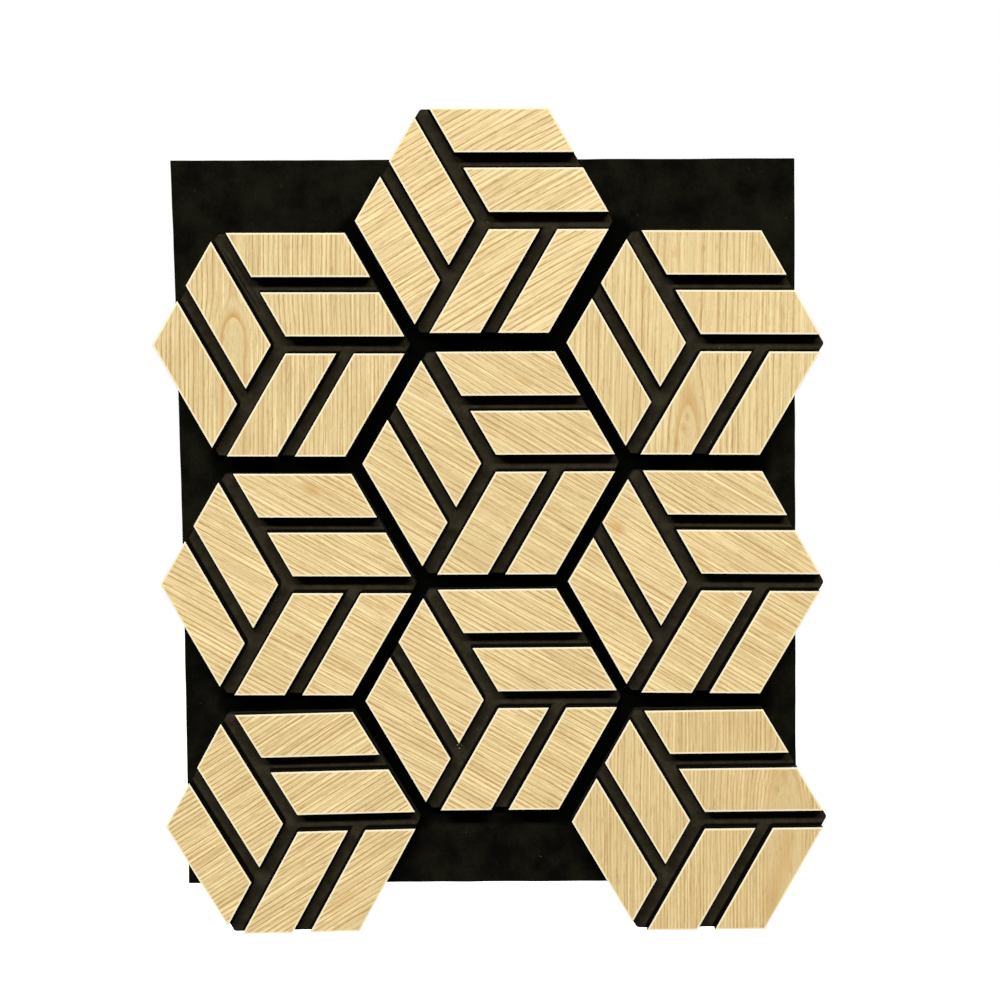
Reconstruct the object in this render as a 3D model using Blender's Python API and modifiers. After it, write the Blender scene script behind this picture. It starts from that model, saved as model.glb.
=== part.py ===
"""Acoustic wall panel: nine hexagonal tiles of oak slats on felt, glued to one black backing board.

X runs to the right, Z up, and the front faces -Y. The origin is the middle of the board's back face,
which lies flat against the wall. The tiles stand in three columns of three, the middle column half a
step higher. Each tile is a flat-topped felt hexagon split by three grooves into three rhombic faces,
and each face holds two parallel slats.
"""
import math
from collections import namedtuple

import bmesh
import bpy
from mathutils import Matrix, Vector

# One tile, in metres: the two grooves are measured square across them
HEX_SIDE = 0.100
FELT_THICKNESS = 0.009
SLAT_THICKNESS = 0.012
FACE_GROOVE = 0.0132
SLAT_GROOVE = 0.0118
SLAT_ARRIS = 0.0003

# The clear gap between the edges of neighbouring tiles
TILE_GAP = 0.0125

# The backing board: its thickness, and how far the tiles reach past each of its edges
BOARD_THICKNESS = 0.009
OVERHANG_LEFT = 0.0145
OVERHANG_RIGHT = 0.0235
OVERHANG_TOP = 0.036
OVERHANG_BOTTOM = 0.033

# The glue line under each slat, and how far the felt is pressed into the board's soft front
GLUE_GAP = 0.0003
FELT_PRESSED_IN = 0.0004

SIXTY = math.radians(60)
FACE_TURN = math.radians(120)
HEX_HALF_HEIGHT = HEX_SIDE * math.sin(SIXTY)
COLUMN_PITCH = 1.5 * HEX_SIDE + TILE_GAP * math.sin(SIXTY)
ROW_PITCH = 2 * HEX_HALF_HEIGHT + TILE_GAP
# Where a face's slats begin, and half the groove between them, along the sides of the rhombus
FACE_START = FACE_GROOVE / 2 / math.sin(SIXTY)
HALF_SLAT_GROOVE = SLAT_GROOVE / 2 / math.sin(SIXTY)
BOARD_FRONT = -BOARD_THICKNESS
FELT_FRONT = BOARD_FRONT - FELT_THICKNESS
SLAT_MIDDLE = FELT_FRONT - GLUE_GAP - SLAT_THICKNESS / 2

# Where a tile stands: its column and its step up, counted from the middle tile, then how far it was
# glued off the true grid, to the right and up, and how far it is turned, anticlockwise
Tile = namedtuple("Tile", "name column step slip_right slip_up turn")
TILES = (
    Tile("left_top", -1, 0.5, -0.0015, 0.0005, -0.6),
    Tile("left_middle", -1, -0.5, 0.0015, -0.0005, -0.5),
    Tile("left_bottom", -1, -1.5, 0.0025, -0.0025, 1.1),
    Tile("centre_top", 0, 1, -0.0035, 0.0020, -0.5),
    Tile("centre_middle", 0, 0, 0.0, 0.0, -0.3),
    Tile("centre_bottom", 0, -1, 0.0, 0.0010, 0.1),
    Tile("right_top", 1, 0.5, -0.0015, -0.0010, -0.7),
    Tile("right_middle", 1, -0.5, -0.0020, -0.0010, -0.8),
    Tile("right_bottom", 1, -1.5, -0.0005, -0.0020, 0.3),
)
FACES = ("upper", "left", "lower")


def clear_scene():
    """Remove the objects that the file holds."""
    for thing in list(bpy.data.objects):
        bpy.data.objects.remove(thing, do_unlink=True)


def add_collection(name):
    """Make a collection and link it to the scene."""
    collection = bpy.data.collections.new(name)
    bpy.context.scene.collection.children.link(collection)
    return collection


def add_material(name, colour, roughness):
    """Make a plain surface: colour is linear RGB."""
    material = bpy.data.materials.new(name)
    material.use_nodes = True
    shader = material.node_tree.nodes["Principled BSDF"]
    shader.inputs["Base Color"].default_value = (*colour, 1.0)
    shader.inputs["Roughness"].default_value = roughness
    shader.inputs["Metallic"].default_value = 0.0
    return material


def oak_material():
    """Pale natural oak veneer with a matt lacquer."""
    return add_material("oak_veneer", (0.78, 0.61, 0.34), 0.5)


def felt_material():
    """Black pressed polyester felt."""
    return add_material("black_felt", (0.012, 0.012, 0.010), 0.95)


def add_mesh_object(name, bm, collection):
    """Turn a bmesh into an object."""
    mesh = bpy.data.meshes.new(name)
    bm.to_mesh(mesh)
    bm.free()
    thing = bpy.data.objects.new(name, mesh)
    collection.objects.link(thing)
    return thing


def board_edges():
    """The board's left, right, bottom and top edges, counted from the middle tile's place."""
    left = -COLUMN_PITCH - HEX_SIDE + OVERHANG_LEFT
    right = COLUMN_PITCH + HEX_SIDE - OVERHANG_RIGHT
    bottom = -1.5 * ROW_PITCH - HEX_HALF_HEIGHT + OVERHANG_BOTTOM
    top = ROW_PITCH + HEX_HALF_HEIGHT - OVERHANG_TOP
    return left, right, bottom, top


def tile_centre(tile):
    """A tile's centre, to the right of and above the board's own centre."""
    left, right, bottom, top = board_edges()
    x = tile.column * COLUMN_PITCH + tile.slip_right - (left + right) / 2
    z = tile.step * ROW_PITCH + tile.slip_up - (bottom + top) / 2
    return x, z


def board_plate(collection):
    """The plain rectangular board, with its back on the wall."""
    left, right, bottom, top = board_edges()
    size = Matrix.Diagonal((right - left, BOARD_THICKNESS, top - bottom, 1))
    place = Matrix.Translation((0, BOARD_FRONT / 2, 0))
    bm = bmesh.new()
    bmesh.ops.create_cube(bm, size=1, matrix=place @ size)
    return add_mesh_object("backing_board", bm, collection)


def felt_hexagons(collection):
    """The nine felt hexagons in one mesh, their backs pressed a little into the board."""
    thickness = FELT_THICKNESS + FELT_PRESSED_IN
    bm = bmesh.new()
    upright = Matrix.Rotation(math.radians(90), 4, "X")
    # A cylinder of six sides has a corner at its top, and half of sixty degrees brings a flat there
    flat_top = Matrix.Rotation(SIXTY / 2, 4, "Z")
    for tile in TILES:
        x, z = tile_centre(tile)
        place = Matrix.Translation((x, FELT_FRONT + thickness / 2, z))
        turn = Matrix.Rotation(-math.radians(tile.turn), 4, "Y")
        bmesh.ops.create_cone(
            bm, cap_ends=True, segments=6, radius1=HEX_SIDE, radius2=HEX_SIDE,
            depth=thickness, matrix=place @ turn @ upright @ flat_top,
        )
    return add_mesh_object("felt_hexagons", bm, collection)


def add_backing(parts, guides, felt):
    """The board with the nine felt hexagons that are glued on its front, as one body."""
    board = board_plate(parts)
    hexagons = felt_hexagons(guides)
    hexagons.hide_render = True
    hexagons.display_type = "WIRE"
    glued = board.modifiers.new("glued_felt", "BOOLEAN")
    glued.operation = "UNION"
    glued.solver = "EXACT"
    glued.object = hexagons
    board.data.materials.append(felt)


def slat_curve(name, near, far, oak):
    """A slat's outline as a flat filled curve: a parallelogram along the tile's first groove.

    near and far are its distances from that groove's middle line, counted along the face's other
    side, which leans by 120 degrees.
    """
    along = Vector((1, 0))
    across = Vector((math.cos(FACE_TURN), math.sin(FACE_TURN)))
    corners = (
        FACE_START * along + near * across,
        HEX_SIDE * along + near * across,
        HEX_SIDE * along + far * across,
        FACE_START * along + far * across,
    )
    curve = bpy.data.curves.new(name, "CURVE")
    curve.dimensions = "2D"
    curve.fill_mode = "BOTH"
    curve.extrude = SLAT_THICKNESS / 2
    outline = curve.splines.new("POLY")
    outline.points.add(len(corners) - 1)
    for point, corner in zip(outline.points, corners):
        point.co = (corner.x, corner.y, 0, 1)
    outline.use_cyclic_u = True
    curve.materials.append(oak)
    return curve


def slat_curves(oak):
    """The two slats of a face, either side of the groove that halves what the face grooves leave."""
    middle = (FACE_START + HEX_SIDE) / 2
    return {
        "inner": slat_curve("inner_slat", FACE_START, middle - HALF_SLAT_GROOVE, oak),
        "outer": slat_curve("outer_slat", middle + HALF_SLAT_GROOVE, HEX_SIDE, oak),
    }


def ease_edges(slat):
    """Join the curve's caps to its sides, then take the sharpness off every edge."""
    weld = slat.modifiers.new("joined_caps", "WELD")
    weld.merge_threshold = SLAT_ARRIS / 10
    arris = slat.modifiers.new("arris", "BEVEL")
    arris.width = SLAT_ARRIS
    arris.segments = 1
    arris.limit_method = "ANGLE"


def add_tile(tile, curves, parts, guides):
    """Six slats on one tile, held by an empty at the tile's centre."""
    x, z = tile_centre(tile)
    holder = bpy.data.objects.new(f"{tile.name}_tile", None)
    holder.location = (x, SLAT_MIDDLE, z)
    holder.rotation_euler = (math.radians(90), -math.radians(tile.turn), 0)
    guides.objects.link(holder)
    for number, face in enumerate(FACES):
        for place, curve in curves.items():
            slat = bpy.data.objects.new(f"{tile.name}_{face}_{place}_slat", curve)
            slat.parent = holder
            slat.rotation_euler = (0, 0, number * FACE_TURN)
            ease_edges(slat)
            parts.objects.link(slat)


def main():
    """Build the whole panel."""
    clear_scene()
    parts = add_collection("acoustic_wall_panel")
    guides = add_collection("guides")
    add_backing(parts, guides, felt_material())
    curves = slat_curves(oak_material())
    for tile in TILES:
        add_tile(tile, curves, parts, guides)


main()
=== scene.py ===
"""Looks of the acoustic wall panel: oak slats on black felt hexagons, glued to a black felt board.

X runs to the right, Z up and the front faces -Y, in metres. The origin is the middle of the board's
back face. Every finished piece's object sits at the origin and has its place in its mesh, so the
materials read Object coordinates as places on the panel.
"""
import logging
import math
import random
from dataclasses import dataclass
from enum import Enum, IntEnum
from typing import Any

import bmesh
import bpy
from mathutils import Matrix, Vector, noise


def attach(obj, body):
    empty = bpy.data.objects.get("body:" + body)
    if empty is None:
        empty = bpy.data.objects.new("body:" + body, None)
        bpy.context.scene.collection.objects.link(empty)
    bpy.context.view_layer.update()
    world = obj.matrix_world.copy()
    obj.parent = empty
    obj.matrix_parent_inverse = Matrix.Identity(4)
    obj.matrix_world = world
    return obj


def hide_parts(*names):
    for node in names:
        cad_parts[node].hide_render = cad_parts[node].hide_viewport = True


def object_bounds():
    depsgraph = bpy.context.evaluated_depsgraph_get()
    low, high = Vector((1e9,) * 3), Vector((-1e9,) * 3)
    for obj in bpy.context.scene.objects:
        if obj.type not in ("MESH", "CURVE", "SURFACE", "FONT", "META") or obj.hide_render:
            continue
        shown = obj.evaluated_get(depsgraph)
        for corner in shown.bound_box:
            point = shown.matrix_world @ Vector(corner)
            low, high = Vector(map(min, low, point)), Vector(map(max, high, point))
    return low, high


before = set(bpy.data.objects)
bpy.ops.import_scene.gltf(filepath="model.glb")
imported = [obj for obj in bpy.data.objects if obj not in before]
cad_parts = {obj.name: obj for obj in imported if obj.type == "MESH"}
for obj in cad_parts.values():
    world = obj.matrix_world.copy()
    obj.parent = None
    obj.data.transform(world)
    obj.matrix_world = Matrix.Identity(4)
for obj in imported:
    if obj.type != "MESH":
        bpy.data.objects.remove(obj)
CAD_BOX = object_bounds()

log = logging.getLogger("acoustic_wall_panel")

MM = 0.001
# Edges whose faces meet at more than this are rims
SHARP = math.radians(50)
BODY = "root"

# The panel's own sizes, as its solids have them
HEX_SIDE = 0.100
FELT_THICKNESS = 0.009
SLAT_THICKNESS = 0.012
FACE_GROOVE = 0.0132
SLAT_GROOVE = 0.0118
TILE_GAP = 0.0125
BOARD_THICKNESS = 0.009
OVERHANG_LEFT = 0.0145
OVERHANG_RIGHT = 0.0235
OVERHANG_TOP = 0.036
OVERHANG_BOTTOM = 0.033
GLUE_GAP = 0.0003

SIXTY = math.radians(60)
FACE_TURN = math.radians(120)
HEX_HALF_HEIGHT = HEX_SIDE * math.sin(SIXTY)
COLUMN_PITCH = 1.5 * HEX_SIDE + TILE_GAP * math.sin(SIXTY)
ROW_PITCH = 2 * HEX_HALF_HEIGHT + TILE_GAP
FACE_START = FACE_GROOVE / 2 / math.sin(SIXTY)
HALF_SLAT_GROOVE = SLAT_GROOVE / 2 / math.sin(SIXTY)
BOARD_FRONT = -BOARD_THICKNESS
FELT_FRONT = BOARD_FRONT - FELT_THICKNESS
SLAT_BACK = FELT_FRONT - GLUE_GAP
# The felt's nap rises into the glue line, so that no light shows under the slats
NAP = 0.00025
NAP_FRONT = FELT_FRONT - NAP
SLAT_FRONT = SLAT_BACK - SLAT_THICKNESS


class Slot(Enum):
    """The record's material slots."""

    OAK = "oak_veneer"
    FELT = "backing_felt"


class Face(Enum):
    """A tile's three rhombic faces, by the number of 120-degree turns that places each."""

    UPPER = 0
    LEFT = 1
    LOWER = 2


class Row(Enum):
    """Which of a face's two slats: the one by the tile's middle or the one by its rim."""

    INNER = "inner"
    OUTER = "outer"


class Mixer(IntEnum):
    """The sockets of a Mix node that blends colours."""

    FACTOR = 0
    FIRST = 6
    SECOND = 7
    RESULT = 2


Socket = bpy.types.NodeSocket
Feed = float | tuple[float, ...] | Socket
Inputs = dict[str | int, Feed] | tuple[Feed, ...]


def linear(colour: str) -> tuple[float, ...]:
    """Turns an sRGB hex colour into linear values.

    Args:
        colour: A # and six hex digits.

    Returns:
        Linear red, green and blue, and 1 for alpha.
    """
    parts = [int(colour[i : i + 2], 16) / 255 for i in (1, 3, 5)]
    bright = [c / 12.92 if c <= 0.04045 else ((c + 0.055) / 1.055) ** 2.4 for c in parts]
    return (*bright, 1.0)


WHITE = linear("#FFFFFF")


class Nodes:
    """The nodes of a material or of the surroundings, while they are put together."""

    def __init__(self, owner: bpy.types.Material | bpy.types.World) -> None:
        """Turns the owner's nodes on."""
        owner.use_nodes = True
        self.tree = owner.node_tree

    def set_inputs(self, name: str, inputs: Inputs) -> None:
        """Sets or links the inputs of a node.

        Args:
            name: The node's name.
            inputs: The values to set or the sockets to link, in order or by the inputs' names.
        """
        sockets = self.tree.nodes[name].inputs
        for key, value in inputs.items() if isinstance(inputs, dict) else enumerate(inputs):
            if isinstance(value, Socket):
                self.tree.links.new(value, sockets[key])
            else:
                sockets[key].default_value = value

    def add(
        self,
        kind: str,
        inputs: Inputs = (),
        stops: tuple[tuple[float, Any], ...] = (),
        take: str | int = 0,
        **settings: Any,
    ) -> Socket:
        """Adds a node with its settings, its values and its links.

        Args:
            kind: The node's type, without the ShaderNode that it begins with.
            inputs: The values to set or the sockets to link, in order or by the inputs' names.
            stops: For a colour ramp, each stop's position and its grey value or linear colour.
            take: The output to give, by name or number.
            **settings: The node's own properties.

        Returns:
            The output.
        """
        node = self.tree.nodes.new(f"ShaderNode{kind}")
        for name, value in settings.items():
            setattr(node, name, value)
        self.set_inputs(node.name, inputs)
        for number, (position, value) in enumerate(stops):
            elements = node.color_ramp.elements
            stop = elements[number] if number < 2 else elements.new(position)
            stop.position = position
            stop.color = value if isinstance(value, tuple) else (value, value, value, 1.0)
        return node.outputs[take]


def finish_piece(
    name: str,
    bm: bmesh.types.BMesh,
    materials: list[bpy.types.Material],
    nodes: tuple[str, ...] = (),
    smooth_below: float | None = None,
) -> bpy.types.Object:
    """Turns a bmesh into a piece of the panel that rides on its body.

    Args:
        name: The piece's name.
        bm: The mesh, already in place. It is freed.
        materials: The materials that the faces' numbers point to.
        nodes: The CAD nodes that the piece stands for.
        smooth_below: Edges under this angle, in degrees, are shaded smooth. None shades all flat.

    Returns:
        The piece.
    """
    mesh = bpy.data.meshes.new(name)
    bm.to_mesh(mesh)
    bm.free()
    for material in materials:
        mesh.materials.append(material)
    if smooth_below is not None:
        mesh.shade_smooth()
        mesh.set_sharp_from_angle(angle=math.radians(smooth_below))
    piece = bpy.data.objects.new(name, mesh)
    bpy.context.scene.collection.objects.link(piece)
    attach(piece, BODY)
    if nodes:
        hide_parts(*nodes)
    log.info("%s: %d faces", name, len(mesh.polygons))
    return piece


def board_edges() -> tuple[float, float, float, float]:
    """Gives the board's edges, counted from the middle tile's place.

    Returns:
        The left, right, bottom and top edge.
    """
    left = -COLUMN_PITCH - HEX_SIDE + OVERHANG_LEFT
    right = COLUMN_PITCH + HEX_SIDE - OVERHANG_RIGHT
    bottom = -1.5 * ROW_PITCH - HEX_HALF_HEIGHT + OVERHANG_BOTTOM
    top = ROW_PITCH + HEX_HALF_HEIGHT - OVERHANG_TOP
    return left, right, bottom, top


@dataclass(frozen=True)
class Stain:
    """A soft tan patch in the veneer, in millimetres from the tile's middle.

    reach is half its width across the grain, and it is twice as long along the grain.
    """

    right: float
    up: float
    reach: float
    depth: float


@dataclass(frozen=True)
class Crown:
    """Where the knife cut through the domed ends of the rings, so that they close in arches.

    From foot to top, in millimetres along the grain, the pith sinks by rise. arch is the radius
    of the ring that is soaked tan, and soaked is how deeply, from 0 to 1.
    """

    foot: float
    top: float
    rise: float
    arch: float
    soaked: float


@dataclass(frozen=True)
class Figure:
    """How one tile's veneer was cut from the log, which sets its grain.

    grain_angle is in degrees, anticlockwise from level. The growth rings are circles around the
    pith, which lies pith_away millimetres to the side of the tile's middle and pith_depth behind
    the cut. Hardly a line shows nearer to the pith than heart, in millimetres, so a crown is
    plain inside. curl is how much the lines bend, per millimetre of grain. drift is the lines'
    slow wander, and wobble their quicker one, as a share of a ring.
    """

    grain_angle: float
    ring_spacing: float = 3.6
    pith_away: float = 420.0
    pith_depth: float = 60.0
    crown: Crown | None = None
    heart: float = 1.0
    curl: float = 0.0
    drift: float = 3.0
    wobble: float = 0.8
    line_depth: float = 1.0
    warmth: float = 0.0
    stains: tuple[Stain, ...] = ()


@dataclass(frozen=True)
class TilePlace:
    """A tile's place: its column and step up, its slip off the grid and its turn in degrees."""

    name: str
    column: int
    step: float
    slip_right: float
    slip_up: float
    turn: float
    figure: Figure

    def centre(self) -> tuple[float, float]:
        """Gives the tile's centre.

        Returns:
            How far it lies to the right of and above the board's own centre.
        """
        left, right, bottom, top = board_edges()
        x = self.column * COLUMN_PITCH + self.slip_right - (left + right) / 2
        z = self.step * ROW_PITCH + self.slip_up - (bottom + top) / 2
        return x, z

    def frame(self, depth: float) -> Matrix:
        """Gives the matrix that brings the tile's own plane, with Z to its front, to the panel.

        Args:
            depth: The panel's Y of the tile's plane.

        Returns:
            The matrix.
        """
        x, z = self.centre()
        turn = Matrix.Rotation(-math.radians(self.turn), 4, "Y")
        upright = Matrix.Rotation(math.radians(90), 4, "X")
        return Matrix.Translation((x, depth, z)) @ turn @ upright

    def off_edge(self, spot: Vector) -> float:
        """Measures how far a place on the panel is from the tile's hexagon.

        Args:
            spot: The place, of which only X and Z count.

        Returns:
            The distance, and 0 inside the hexagon.
        """
        x, z = self.centre()
        local = Matrix.Rotation(-math.radians(self.turn), 2) @ Vector((spot.x - x, spot.z - z))
        lean = Vector((math.sin(SIXTY), math.cos(SIXTY)))
        reach = max(
            abs(local.y), abs(local.dot(lean)), abs(local.x * lean.x - local.y * lean.y)
        )
        return max(0.0, reach - HEX_HALF_HEIGHT)


TILES = (
    TilePlace(
        "left_top", -1, 0.5, -0.0015, 0.0005, -0.6,
        Figure(
            89.3, ring_spacing=3.6, pith_away=37.0, pith_depth=-4.0, heart=14.0,
            crown=Crown(-17, 41, 17, 8.7, 0.8), drift=1.5, wobble=0.4, line_depth=1.15, warmth=0.32,
            stains=(Stain(-45, 6, 2.5, 0.45), Stain(-27, -24, 3, 0.3)),
        ),
    ),
    TilePlace(
        "left_middle", -1, -0.5, 0.0015, -0.0005, -0.5,
        Figure(
            -29.6, ring_spacing=3.6, line_depth=1.55,
            stains=(Stain(19, 74, 6, 0.6), Stain(70, 36, 4, 0.45)),
        ),
    ),
    TilePlace(
        "left_bottom", -1, -1.5, 0.0025, -0.0025, 1.1,
        Figure(
            32.1, ring_spacing=3.5, line_depth=1.85, warmth=0.1,
            stains=(Stain(64, -68, 5, 0.5), Stain(40, -62, 9, 0.25), Stain(5, -82, 6, 0.3)),
        ),
    ),
    TilePlace(
        "centre_top", 0, 1, -0.0035, 0.0020, -0.5,
        Figure(29.6, ring_spacing=4.1, curl=0.0006, line_depth=1.45, warmth=-0.3),
    ),
    TilePlace(
        "centre_middle", 0, 0, 0.0, 0.0, -0.3,
        Figure(
            -31.2, ring_spacing=3.7, drift=4.0, line_depth=1.2, warmth=0.15,
            stains=(Stain(27, 63, 5, 0.35),),
        ),
    ),
    TilePlace(
        "centre_bottom", 0, -1, 0.0, 0.0010, 0.1,
        Figure(-29.8, ring_spacing=3.5, line_depth=1.7),
    ),
    TilePlace(
        "right_top", 1, 0.5, -0.0015, -0.0010, -0.7,
        Figure(
            88.4, ring_spacing=4.6, pith_away=4.8, pith_depth=6.0, heart=14.5, drift=1.5,
            crown=Crown(-84, -14, 7.2, 10.0, 0.55), wobble=0.5, line_depth=0.85, warmth=0.15,
            stains=(
                Stain(-15, -77, 3, 0.6), Stain(-10, -66, 3, 0.65), Stain(-7, -58, 2.5, 0.5),
                Stain(-15, 70, 3.5, 0.4),
            ),
        ),
    ),
    TilePlace(
        "right_middle", 1, -0.5, -0.0020, -0.0010, -0.8,
        Figure(
            -31.6, ring_spacing=3.5, line_depth=1.4,
            stains=(
                Stain(-62, 43, 5, 0.75), Stain(57, -33, 7, 0.4), Stain(2, 22, 5, 0.25),
                Stain(23, -14, 5, 0.3),
            ),
        ),
    ),
    TilePlace(
        "right_bottom", 1, -1.5, -0.0005, -0.0020, 0.3,
        Figure(
            89.7, ring_spacing=2.6, pith_away=-66, pith_depth=2.0, heart=15.0,
            crown=Crown(-5, 62, 13.5, 13.0, 0.35), drift=1.5, line_depth=1.1, warmth=0.4,
            # The first is a faint amber cast over the whole tile, and the row of them is one band
            stains=(
                Stain(20, -20, 140, 0.12), Stain(65, 35, 3.5, 0.45), Stain(59, 24, 3.5, 0.45),
                Stain(54, 66, 4, 0.3),
                *(Stain(74 - 0.29 * down, -down, 7.5, 0.27) for down in range(15, 80, 11)),
            ),
        ),
    ),
)


# The layers of noise in the veneer: their length along the grain and width in mm, and octaves
GRAIN_LAYERS = {
    "drift": (150.0, 42.0, 1.0), "bands": (260.0, 13.0, 2.0), "wobble": (95.0, 7.0, 2.0),
    "strength": (120.0, 8.0, 1.0), "threads": (80.0, 1.3, 2.0), "pores": (9.0, 0.8, 1.0),
    "clouds": (55.0, 42.0, 2.0), "ripple": (7.0, 30.0, 1.0), "ragged": (6.0, 1.6, 1.0),
    "gleams": (70.0, 1.5, 1.0), "flecks": (2.4, 1.1, 2.0),
}
# Late wood darkens slowly and ends at once where the next spring's pale wood begins
RING_SHADES = ((0.0, 0.05), (1.0, 0.03), (0.5, 0.0), (0.74, 0.22), (0.87, 1.0), (0.93, 0.5))
# The tan of a crown begins sharply at its ring and fades outward
ARCH_SHADES = ((0.18, 0.0), (0.65, 0.0), (0.25, 1.0), (0.42, 0.55))


@dataclass(frozen=True)
class OakVeneer:
    """Sliced oak veneer under matt lacquer.

    The knife leaves fine rings as soft brown lines with short open pores along them, and the
    lacquer lets the light sit on it as a dull sheen. The rim of each slat is sanded to raw wood,
    and a painted highlight along it makes it paler still.
    """

    place: TilePlace
    seed: float
    early_wood: str = "#E6D099"
    pale_wood: str = "#F9E2AB"
    late_wood: str = "#B69056"
    tan: str = "#CB9C56"
    # The rim's pale colour: sanded raw wood with a painted highlight on it
    rim_wood_and_highlight: str = "#F3E7C3"
    deep_tone: str = "#DEC38C"
    lacquer_roughness: float = 0.46
    brightness: float = 0.825
    # How far the rings' edges are ragged, as a share of a ring
    raggedness: float = 0.18
    # How deep the marks of each layer are
    thread_depth: float = 0.4
    pore_depth: float = 0.35
    band_depth: float = 0.7
    gleam_depth: float = 0.85
    ripple_depth: float = 0.05
    plain_depth: float = 0.05
    cloud_depth: float = 0.08
    fleck_depth: float = 0.20

    def material(self) -> bpy.types.Material:
        """Builds the veneer of one tile.

        Returns:
            The material, with its grain centred on the tile and running through all six slats.
        """
        material = bpy.data.materials.new(f"{self.place.name}_sliced_oak_veneer_matt_lacquer")
        wood = Nodes(material)
        spot = wood.add("TexCoord", take="Object")
        figure = self.place.figure
        x, z = self.place.centre()
        # The tile's own millimetres: X along the grain, Z across it
        lean = (0, -math.radians(figure.grain_angle), 0)
        grain = wood.add(
            "Mapping", (spot, (x, SLAT_FRONT, z), lean, (MM, MM, MM)), vector_type="TEXTURE"
        )
        noises: dict[str, Socket] = {}
        for number, (layer, (along, across, detail)) in enumerate(GRAIN_LAYERS.items()):
            start = (self.seed * 7.3 + number * 11.7, number * 3.1, self.seed * 4.9)
            size = (1 / along, 1 / across, 1 / across)
            stretched = wood.add("Mapping", {"Vector": grain, "Location": start, "Scale": size})
            noises[layer] = wood.add(
                "TexNoise", {"Vector": stretched, "Scale": 1.0, "Detail": detail}
            )
        radius = self.ring_radius(wood, grain, noises["drift"])
        plain = wood.add(
            "MapRange", (radius, figure.heart - 1.5, figure.heart + 0.5, 0.2, 1.0),
            interpolation_type="SMOOTHSTEP",
        )
        lines = self.growth_lines(wood, radius, plain, noises)
        relief = wood.add("Math", (lines, -0.6, noises["pores"]), operation="MULTIPLY_ADD")
        dull, shiny = self.lacquer_roughness + 0.08, self.lacquer_roughness - 0.06
        wood.set_inputs(
            "Principled BSDF",
            {
                "Base Color": self.wood_colour(wood, grain, radius, lines, plain, noises),
                "Roughness": wood.add("MapRange", (noises["threads"], 0.3, 0.7, shiny, dull)),
                "Normal": wood.add(
                    "Bump", {"Height": relief, "Strength": 0.35, "Distance": 0.08 * MM}
                ),
                "IOR": 1.5, "Specular IOR Level": 0.35,
            },
        )
        return material

    def ring_radius(self, wood: Nodes, grain: Socket, drift: Socket) -> Socket:
        """Measures how far the pith lies from each place on the cut.

        Args:
            wood: The material's nodes.
            grain: The place in the tile's millimetres, X along the grain.
            drift: The noise of the lines' slow wander.

        Returns:
            The distance in millimetres, less what the lines bend.
        """
        figure, crown = self.place.figure, self.place.figure.crown
        apart = wood.add("SeparateXYZ", (grain,)).node.outputs
        drifted = wood.add("Math", (drift, 2 * figure.drift, apart["Z"]), operation="MULTIPLY_ADD")
        away = wood.add("Math", (drifted, figure.pith_away + figure.drift), operation="SUBTRACT")
        sunk: Feed = figure.pith_depth
        if crown:
            deepest = figure.pith_depth + crown.rise
            sunk = wood.add(
                "MapRange", (apart["X"], crown.foot, crown.top, figure.pith_depth, deepest),
                interpolation_type="SMOOTHSTEP",
            )
        leg = wood.add("CombineXYZ", (away, sunk))
        radius = wood.add("VectorMath", (leg,), take="Value", operation="LENGTH")
        squared = wood.add("Math", (apart["X"], apart["X"]), operation="MULTIPLY")
        return wood.add("Math", (squared, -figure.curl / 2, radius), operation="MULTIPLY_ADD")

    def growth_lines(
        self, wood: Nodes, radius: Socket, plain: Socket, noises: dict[str, Socket]
    ) -> Socket:
        """Draws the growth rings where the cut crosses them.

        Args:
            wood: The material's nodes.
            radius: The distance from the pith, in millimetres.
            plain: Near 0 in the heart, where hardly a line shows, and 1 outside it.
            noises: The layers of noise by name.

        Returns:
            How dark the ring is, from 0 to about 1.
        """
        figure = self.place.figure
        count = wood.add("Math", (radius, 1 / figure.ring_spacing), operation="MULTIPLY")
        for layer, share in (("wobble", figure.wobble), ("ragged", self.raggedness)):
            count = wood.add("Math", (noises[layer], share, count), operation="MULTIPLY_ADD")
        within = wood.add("Math", (count,), operation="FRACT")
        drawn = wood.add("ValToRGB", (within,), RING_SHADES)
        number = wood.add("Math", (count,), operation="FLOOR")
        chance = wood.add("TexWhiteNoise", {"W": number}, noise_dimensions="1D")
        uneven = wood.add("MapRange", (chance, 0.0, 1.0, 0.45, 1.1))
        patchy = wood.add("MapRange", (noises["strength"], 0.34, 0.62, 0.65, 1.1))
        for share in (uneven, patchy, plain):
            drawn = wood.add("Math", (drawn, share), operation="MULTIPLY")
        return drawn

    def soaked(
        self, wood: Nodes, grain: Socket, radius: Socket, noises: dict[str, Socket]
    ) -> list[Socket]:
        """Finds where the wood has turned tan: at the arch of a crown, then in each stain.

        Args:
            wood: The material's nodes.
            grain: The place in the tile's millimetres, X along the grain.
            radius: The distance from the pith, in millimetres.
            noises: The layers of noise by name.

        Returns:
            For each of them, how deeply each place is soaked.
        """
        figure, crown = self.place.figure, self.place.figure.crown
        patches: list[tuple[Socket, Socket]] = []
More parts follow.
